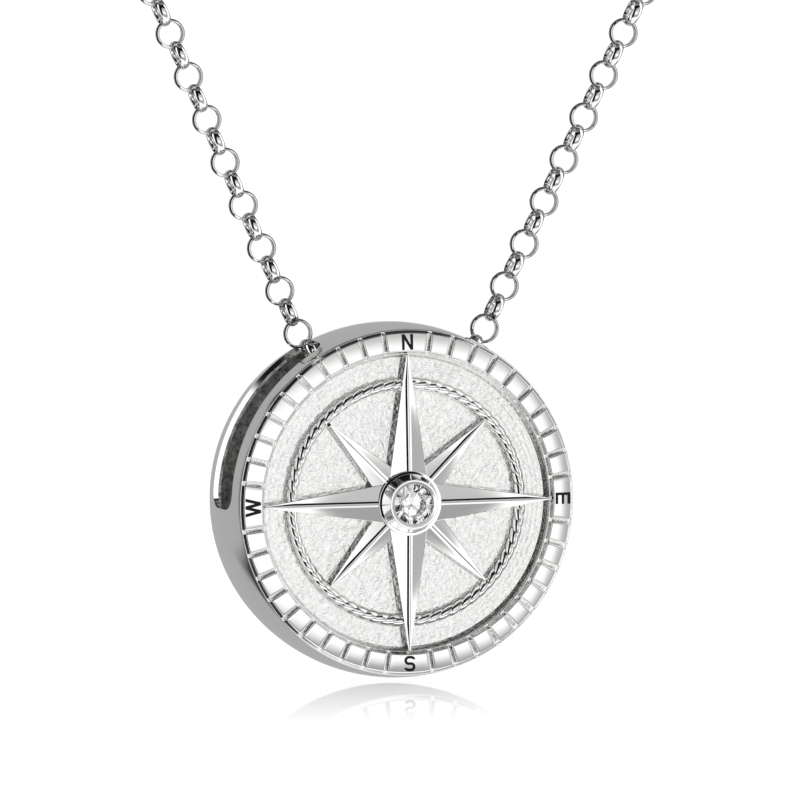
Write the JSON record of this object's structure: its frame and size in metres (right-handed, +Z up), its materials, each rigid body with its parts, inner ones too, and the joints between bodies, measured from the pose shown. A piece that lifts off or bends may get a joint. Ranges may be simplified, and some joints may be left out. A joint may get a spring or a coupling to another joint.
{
  "type": "compass pendant necklace",
  "caption": "Round hollow slider pendant with a raised compass dial and a clear centre stone, hung on a closed loop of rolo chain.",
  "frame": {"origin": "point of the chain's loop at the nape of the neck, on the clasp, straight above the middle of the pendant", "axes": "+Z up along the hanging necklace, +X to the viewer's right, the pendant faces -Y"},
  "size_m": [0.1021, 0.0102, 0.1812],
  "materials": {
    "polished_silver": "polished",
    "matte_silver": "fine stippled matte",
    "stone": "cut and polished",
    "enamel": "satin"
  },
  "bodies": {
    "root": {"chain": "polished_silver", "clasp": "polished_silver"},
    "pendant": {"case": "polished_silver", "dial_plate": "matte_silver", "rope_ring": "polished_silver", "compass_rose": "polished_silver", "setting": "polished_silver", "stone": "stone", "letter_n": "enamel", "letter_e": "enamel", "letter_s": "enamel", "letter_w": "enamel"}
  },
  "joints": [
    {"name": "pendant_swing", "type": "hinge", "parent": "root", "child": "pendant", "pos_m": [0, 0, -0.15586], "axis": [1, 0, 0], "range_deg": [-15, 15]}
  ]
}
